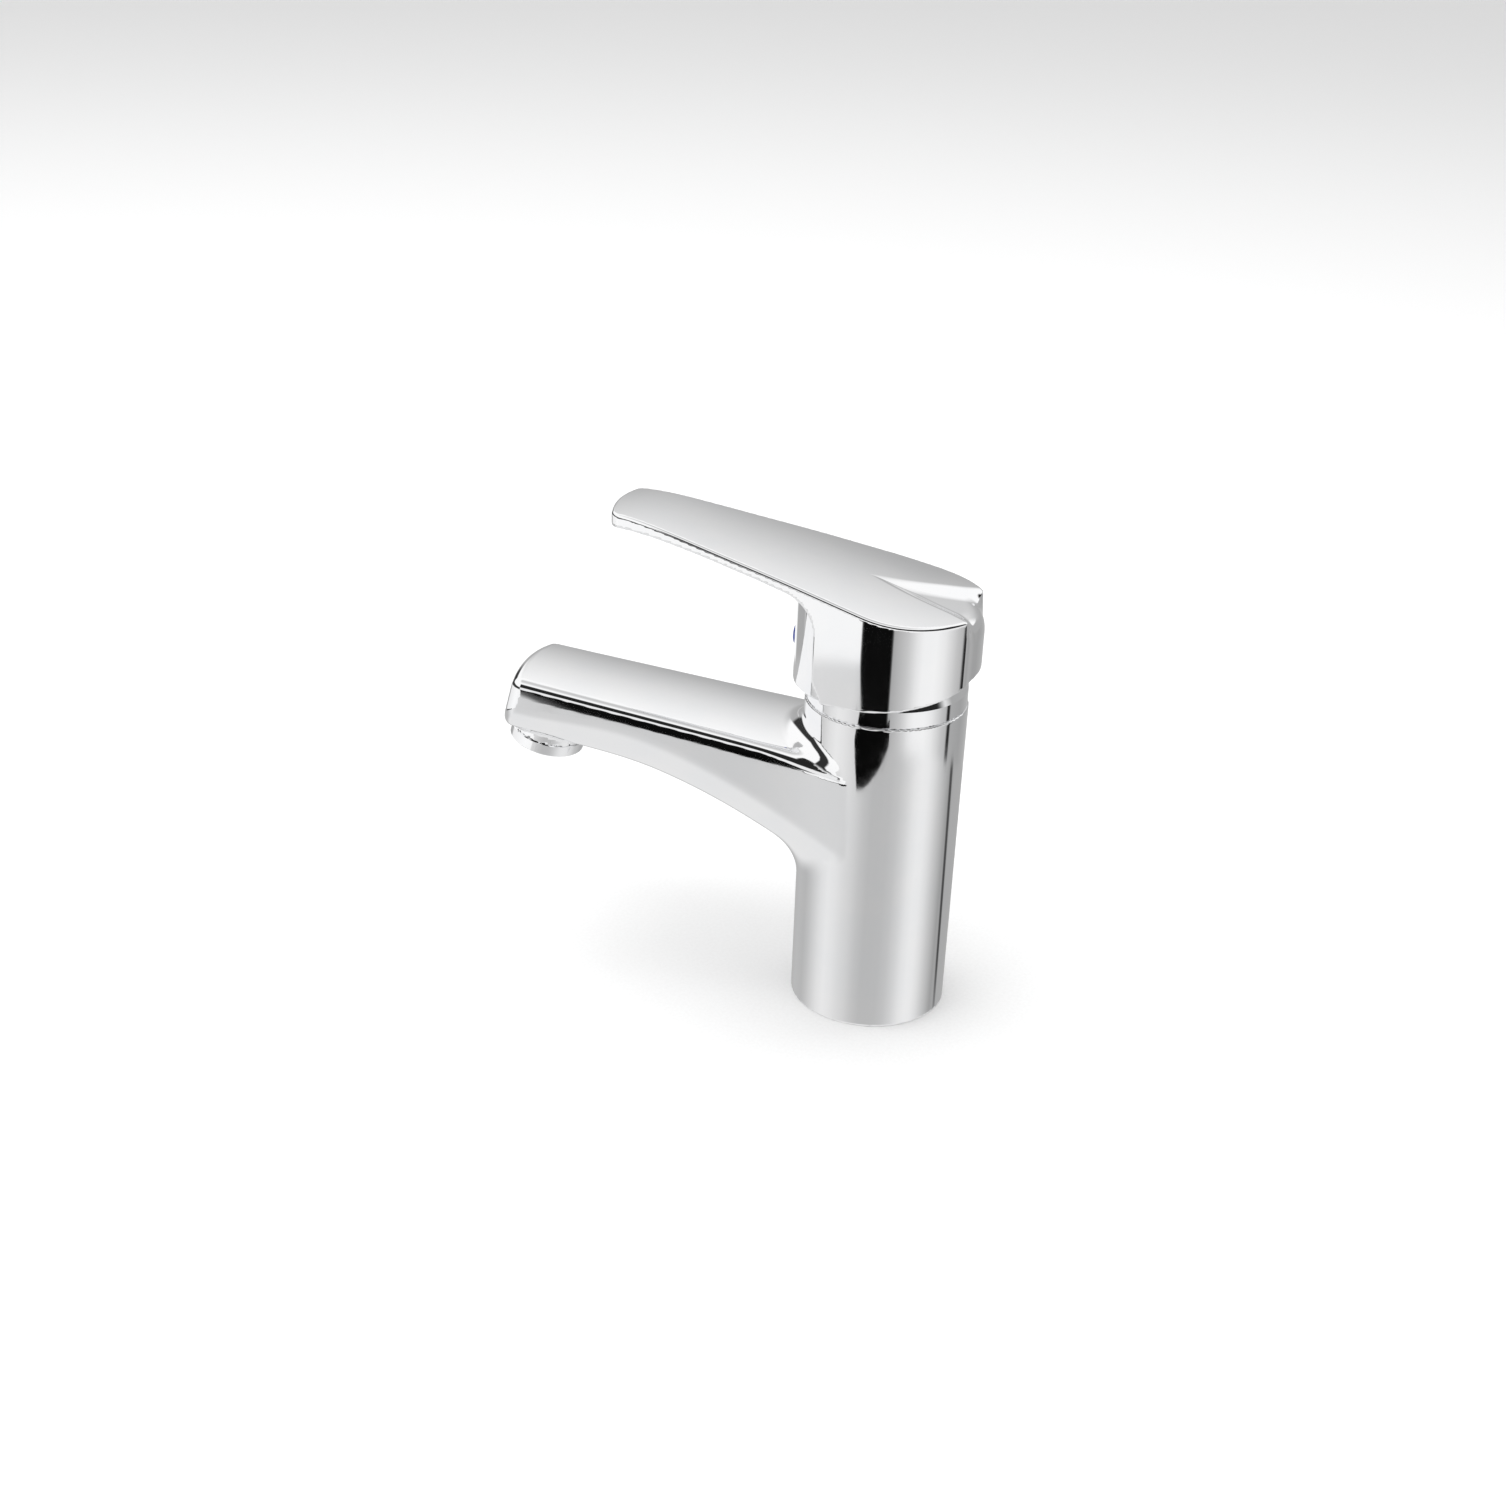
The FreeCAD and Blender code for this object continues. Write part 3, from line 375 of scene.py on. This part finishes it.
class Nodes:
    """Short ways to add nodes to one tree."""

    def __init__(self, tree):
        self.tree = tree

    def add(self, kind, settings=None, **inputs):
        node = self.tree.nodes.new("ShaderNode" + kind)
        for name, value in (settings or {}).items():
            setattr(node, name, value)
        for name, value in inputs.items():
            self.feed(node.inputs[name.replace("_", " ")], value)
        return node

    def feed(self, socket, value):
        if isinstance(value, bpy.types.NodeSocket):
            self.tree.links.new(value, socket)
        else:
            socket.default_value = value

    def math(self, operation, first, second=0.0):
        node = self.tree.nodes.new("ShaderNodeMath")
        node.operation = operation
        self.feed(node.inputs[0], first)
        self.feed(node.inputs[1], second)
        return node.outputs[0]

    def step(self, value, start, end, low=0.0, high=1.0):
        """Smooth change from low to high as value goes from start to end."""
        node = self.add("MapRange", {"interpolation_type": "SMOOTHSTEP"}, Value=value, From_Min=start,
                        From_Max=end, To_Min=low, To_Max=high)
        return node.outputs["Result"]

    def ramp(self, value, low, high, stops):
        """Grey level read from stops of (value, level), with value between low and high."""
        share = self.add("MapRange", Value=value, From_Min=low, From_Max=high).outputs["Result"]
        node = self.add("ValToRGB", Fac=share)
        points = node.color_ramp.elements
        while len(points) < len(stops):
            points.new(0.5)
        for point, (place, level) in zip(points, stops):
            point.position = (place - low) / (high - low)
            point.color = grey(level)
        return node.outputs["Color"]

    def blend(self, share, first, second):
        node = self.tree.nodes.new("ShaderNodeMix")
        node.data_type = "RGBA"
        self.feed(node.inputs[0], share)
        self.feed(node.inputs[6], first)
        self.feed(node.inputs[7], second)
        return node.outputs[2]


def new_material(name, metallic, **sockets):
    material = bpy.data.materials.new(name)
    material.use_nodes = True
    shader = material.node_tree.nodes["Principled BSDF"]
    shader.inputs["Metallic"].default_value = metallic
    for socket, value in sockets.items():
        shader.inputs[socket.replace("_", " ")].default_value = value
    return material, Nodes(material.node_tree), shader


def chrome():
    """Bright chrome plate: faint waves of the polished casting and a thin film of wiping marks."""
    material, nodes, shader = new_material("chrome_plate", 1.0)
    place = nodes.add("TexCoord").outputs["Object"]
    film = nodes.add("TexNoise", Vector=place, Scale=60.0, Detail=4.0, Roughness=0.6).outputs["Fac"]
    wipe = nodes.add("Mapping", Vector=place, Scale=(260.0, 40.0, 90.0)).outputs["Vector"]
    marks = nodes.add("TexNoise", Vector=wipe, Scale=4.0, Detail=6.0, Roughness=0.7).outputs["Fac"]
    haze = nodes.math("MULTIPLY", film, marks)
    nodes.feed(shader.inputs["Roughness"], nodes.step(haze, 0.1, 0.5, 0.035, 0.075))
    tint = nodes.blend(nodes.step(film, 0.35, 0.65), (0.905, 0.91, 0.92, 1), (0.925, 0.925, 0.93, 1))
    nodes.feed(shader.inputs["Base Color"], tint)
    waves = nodes.add("TexNoise", Vector=place, Scale=22.0, Detail=1.0).outputs["Fac"]
    bump = nodes.add("Bump", Height=waves, Strength=0.25, Distance=0.00012)
    nodes.feed(shader.inputs["Normal"], bump.outputs["Normal"])
    return material


# ---------------------------------------------------------------- stage

# point in the middle of the picture, and where the camera stands round it
AIM = Vector((0.0, -0.0412, 0.07775))
AZIMUTH = math.radians(103.76)
ELEVATION = math.radians(25.315)
ROLL = math.radians(2.188)
DISTANCE = 0.6134
LENS = 46.566


def add_camera():
    flat = math.cos(ELEVATION)
    back = Vector((math.sin(AZIMUTH) * flat, -math.cos(AZIMUTH) * flat, math.sin(ELEVATION)))
    camera = bpy.data.objects.new("camera", bpy.data.cameras.new("camera"))
    bpy.context.collection.objects.link(camera)
    turn = (-back).to_track_quat("-Z", "Y").to_matrix()
    camera.rotation_euler = (turn @ Matrix.Rotation(ROLL, 3, "Z")).to_euler()
    camera.location = AIM + back * DISTANCE
    camera.data.lens = LENS
    camera.data.clip_start = 0.01
    bpy.context.scene.camera = camera


def add_world():
    """Studio round the part, as grey levels by direction in degrees; to the camera it is plain white."""
    world = bpy.data.worlds.new("studio")
    world.use_nodes = True
    bpy.context.scene.world = world
    nodes = Nodes(world.node_tree)
    axes = nodes.add("SeparateXYZ", Vector=nodes.add("TexCoord").outputs["Generated"]).outputs
    degrees = 180 / math.pi
    azimuth = nodes.math("MULTIPLY", nodes.math("ARCTAN2", axes["Y"], axes["X"]), degrees)
    elevation = nodes.math("MULTIPLY", nodes.math("ARCSINE", axes["Z"]), degrees)

    # table round the part, with a dark seam across it
    table = nodes.ramp(azimuth, -180, 180, [
        (-180, 0.50), (-150, 0.48), (-132, 0.52), (-108, 0.50), (-96, 0.57), (-84, 0.68), (-72, 0.80),
        (-60, 0.87), (-48, 0.83), (-36, 0.75), (-24, 0.68), (-12, 0.58), (0, 0.52), (12, 0.52), (24, 0.53),
        (36, 0.58), (48, 0.69), (60, 0.83), (70, 0.89), (80, 0.88), (90, 0.78), (102, 0.61), (112, 0.49),
        (122, 0.36), (138, 0.42), (180, 0.42)])
    seam = nodes.math("ADD", azimuth, nodes.math("MULTIPLY", elevation, 1.4))
    seam = nodes.math("ABSOLUTE", nodes.math("SUBTRACT", seam, 91.0))
    line = nodes.math("MULTIPLY", nodes.step(seam, 5.5, 1.5), nodes.step(elevation, -34, -31, 0, 1))
    table = nodes.blend(line, table, grey(0.07))
    table = nodes.blend(nodes.step(elevation, -34, -50), table, grey(0.84))

    # walls from the table's edge up: low panels, a strip at eye level, dark upper panels and the ceiling
    low_walls = nodes.ramp(azimuth, -180, 180, [
        (-180, 0.50), (-170, 0.60), (-160, 1.05), (-146, 1.05), (-142, 0.42), (-118, 0.42), (-112, 0.9),
        (-54, 1.05), (-24.8, 1.0), (-23.8, 0.004), (12.4, 0.004), (14, 0.42), (24, 0.53), (30, 0.60),
        (36, 0.71), (42, 0.84), (50, 0.95), (66, 0.96), (78, 0.87), (84, 0.77), (90, 0.68), (96, 0.58),
        (105, 0.50), (107.5, 0.02), (112, 0.02), (114, 0.42), (140, 0.37), (180, 0.50)])
    horizon = nodes.ramp(azimuth, -180, 180, [
        (-180, 0.50), (-146, 0.45), (-140, 0.04), (-30, 0.03), (-25, 0.9), (14, 1.0), (60, 1.0),
        (100, 0.85), (112, 0.42), (160, 0.42), (180, 0.50)])
    upper = nodes.ramp(azimuth, -180, 180, [
        (-180, 1.05), (-30, 1.05), (-28, 0.02), (112, 0.02), (120, 1.05), (180, 1.05)])
    front = nodes.math("ABSOLUTE", nodes.math("ADD", azimuth, 87.0))
    front = nodes.math("MULTIPLY", nodes.step(front, 29, 25), nodes.step(elevation, -20.2, -21.0))
    low_walls = nodes.blend(front, low_walls, grey(0.02))
    walls = nodes.blend(nodes.step(elevation, -8, -3), low_walls, horizon)
    walls = nodes.blend(nodes.step(elevation, 14, 19), walls, upper)
    ceiling = nodes.ramp(elevation, 30, 90, [(30, 1.05), (62, 1.05), (74, 0.7), (90, 0.45)])
    walls = nodes.blend(nodes.step(elevation, 47, 54), walls, ceiling)

    # far wall, lighter towards its top
    back = nodes.ramp(elevation, -30, 90, [
        (-30, 0.42), (0, 0.42), (10, 0.46), (14, 0.51), (22, 0.65), (29, 0.78), (38, 0.93), (46, 1.05),
        (62, 1.05), (74, 0.7), (90, 0.45)])
    behind = nodes.step(nodes.math("ABSOLUTE", azimuth), 142, 158)
    behind = nodes.math("MULTIPLY", behind, nodes.step(elevation, -15, 0))
    walls = nodes.blend(behind, walls, back)

    # the table's edge rises a little towards one side
    rise = nodes.math("SUBTRACT", -15.0, azimuth)
    rise = nodes.math("MULTIPLY", nodes.math("MAXIMUM", rise, 0.0), 0.3)
    above = nodes.math("SUBTRACT", elevation, nodes.math("MINIMUM", rise, 2.9))
    room = nodes.blend(nodes.step(above, -25.6, -25.2), table, walls)
    seen = nodes.add("LightPath").outputs["Is Camera Ray"]
    nodes.feed(world.node_tree.nodes["Background"].inputs["Color"], nodes.blend(seen, room, grey(1)))


def stage_sheet(name, corners, height):
    mesh = bpy.data.meshes.new(name)
    mesh.from_pydata([(x, y, height) for x, y in corners], [], [range(len(corners))])
    sheet = bpy.data.objects.new(name, mesh)
    bpy.context.collection.objects.link(sheet)
    return sheet


def add_floor():
    """Pale table top that reflections do not see, and a dark card that only reflections see."""
    reach = 6.0
    square = [(-reach, -reach), (reach, -reach), (reach, reach), (-reach, reach)]
    floor = stage_sheet("table_top", square, 0)
    material, nodes, shader = new_material("table_paper", 0.0, Roughness=0.9, Specular_IOR_Level=0.0)
    place = nodes.add("TexCoord").outputs["Object"]
    grain = nodes.add("TexNoise", Vector=place, Scale=900.0, Detail=3.0).outputs["Fac"]
    shade = nodes.blend(nodes.step(grain, 0.3, 0.7), grey(0.93), grey(0.96))
    nodes.feed(shader.inputs["Base Color"], shade)
    floor.data.materials.append(material)
    floor.visible_glossy = False
    outline = [(0.174, -0.070), (0.203, -0.115), (0.250, -0.112), (0.250, 0.072), (0.221, 0.068),
               (0.200, -0.004)]
    card = stage_sheet("dark_card", outline, 0.001)
    material, nodes, shader = new_material("black_felt", 0.0, Roughness=1.0, Specular_IOR_Level=0.0)
    shader.inputs["Base Color"].default_value = grey(0.002)
    card.data.materials.append(material)
    card.visible_camera = False
    card.visible_diffuse = False
    card.visible_shadow = False


def add_lamp(name, place, size, watts):
    lamp = bpy.data.objects.new(name, bpy.data.lights.new(name, "AREA"))
    bpy.context.collection.objects.link(lamp)
    lamp.location = place
    lamp.rotation_euler = (-Vector(place)).to_track_quat("-Z", "Y").to_euler()
    lamp.data.shape = "DISK"
    lamp.data.size = size
    lamp.data.energy = watts
    lamp.visible_glossy = False


def moulded(name, colour, darker, roughness, grain, coat=0.0):
    """Plastic or rubber with a fine moulded texture and a slightly uneven colour."""
    material, nodes, shader = new_material(name, 0.0, Coat_Weight=coat)
    place = nodes.add("TexCoord").outputs["Object"]
    cloud = nodes.add("TexNoise", Vector=place, Scale=120.0, Detail=3.0).outputs["Fac"]
    tint = nodes.blend(nodes.step(cloud, 0.35, 0.65), (*darker, 1), (*colour, 1))
    nodes.feed(shader.inputs["Base Color"], tint)
    nodes.feed(shader.inputs["Roughness"], nodes.step(cloud, 0.3, 0.7, roughness, roughness + 0.12))
    pits = nodes.add("TexNoise", Vector=place, Scale=grain, Detail=2.0).outputs["Fac"]
    bump = nodes.add("Bump", Height=pits, Strength=0.35, Distance=0.00004)
    nodes.feed(shader.inputs["Normal"], bump.outputs["Normal"])
    return material


def turned(name, colour, darker, roughness):
    """Bare metal with the fine rings that a lathe leaves round the vertical axis."""
    material, nodes, shader = new_material(name, 1.0)
    place = nodes.add("TexCoord").outputs["Object"]
    rings = nodes.add("TexWave", {"wave_type": "RINGS", "rings_direction": "Z"}, Vector=place,
                      Scale=900.0, Distortion=0.6, Detail=2.0).outputs["Fac"]
    cloud = nodes.add("TexNoise", Vector=place, Scale=160.0, Detail=4.0).outputs["Fac"]
    tint = nodes.blend(nodes.step(cloud, 0.3, 0.7), (*darker, 1), (*colour, 1))
    nodes.feed(shader.inputs["Base Color"], tint)
    nodes.feed(shader.inputs["Roughness"], nodes.step(cloud, 0.3, 0.7, roughness, roughness + 0.15))
    bump = nodes.add("Bump", Height=rings, Strength=0.2, Distance=0.00003)
    nodes.feed(shader.inputs["Normal"], bump.outputs["Normal"])
    return material


def index_enamel():
    """Button face under clear lacquer, red for hot on one side and blue for cold on the other."""
    material, nodes, shader = new_material("index_enamel", 0.0, Coat_Weight=0.8)
    place = nodes.add("TexCoord").outputs["Object"]
    across = nodes.add("SeparateXYZ", Vector=place).outputs["X"]
    split = nodes.step(across, -0.0001, 0.0001)
    colour = nodes.blend(split, (0.62, 0.015, 0.012, 1), (0.012, 0.06, 0.50, 1))
    flecks = nodes.add("TexNoise", Vector=place, Scale=2500.0, Detail=2.0).outputs["Fac"]
    colour = nodes.blend(nodes.step(flecks, 0.3, 0.8, 0.0, 0.12), colour, (0.8, 0.8, 0.8, 1))
    nodes.feed(shader.inputs["Base Color"], colour)
    nodes.feed(shader.inputs["Roughness"], nodes.step(flecks, 0.3, 0.7, 0.18, 0.3))
    return material


def node_materials(plate):
    """Each finish with the pieces that have it."""
    return {
        plate: ("bonnet_ring", "aerator_ring"),
        moulded("black_epdm", (0.022, 0.022, 0.023), (0.014, 0.014, 0.015), 0.55, 2600.0):
            ("base_gasket", "neck_seal", "ring_seal", "aerator_washer"),
        moulded("red_silicone", (0.52, 0.05, 0.03), (0.40, 0.035, 0.02), 0.4, 2200.0):
            ("port_seal_hot", "port_seal_cold", "port_seal_mixed"),
        moulded("white_acetal", (0.82, 0.82, 0.80), (0.74, 0.74, 0.71), 0.3, 1500.0):
            ("cartridge_base", "cartridge_housing", "aerator_insert"),
        moulded("grey_acetal", (0.30, 0.31, 0.33), (0.25, 0.26, 0.28), 0.35, 1500.0):
            ("swivel_guide", "disc_carrier"),
        moulded("alumina", (0.88, 0.86, 0.80), (0.82, 0.79, 0.72), 0.12, 3200.0, 0.3):
            ("fixed_disc", "moving_disc"),
        turned("stainless", (0.60, 0.60, 0.60), (0.50, 0.50, 0.51), 0.22):
            ("pivot_pin", "set_screw", "aerator_mesh"),
        turned("brass", (0.76, 0.55, 0.25), (0.66, 0.46, 0.20), 0.25):
            ("stem", "retaining_nut"),
        index_enamel(): ("index_plug",),
    }


def main():
    """Two plated shells replace their CAD pieces; every other piece keeps its shape and gets a finish."""
    plate = chrome()
    body = body_piece()
    body.data.materials.append(plate)
    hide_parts("body")
    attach(body, "mixer")
    handle = handle_piece()
    handle.data.materials.append(plate)
    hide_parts("handle")
    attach(handle, "lever")
    for material, names in node_materials(plate).items():
        for name in names:
            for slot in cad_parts[name].material_slots:
                slot.material = material
    add_camera()
    add_world()
    add_floor()
    add_lamp("sky_panel", (0.3, -0.3, 2.2), 2.4, 36.0)
    bpy.context.scene.view_settings.view_transform = "Standard"


main()
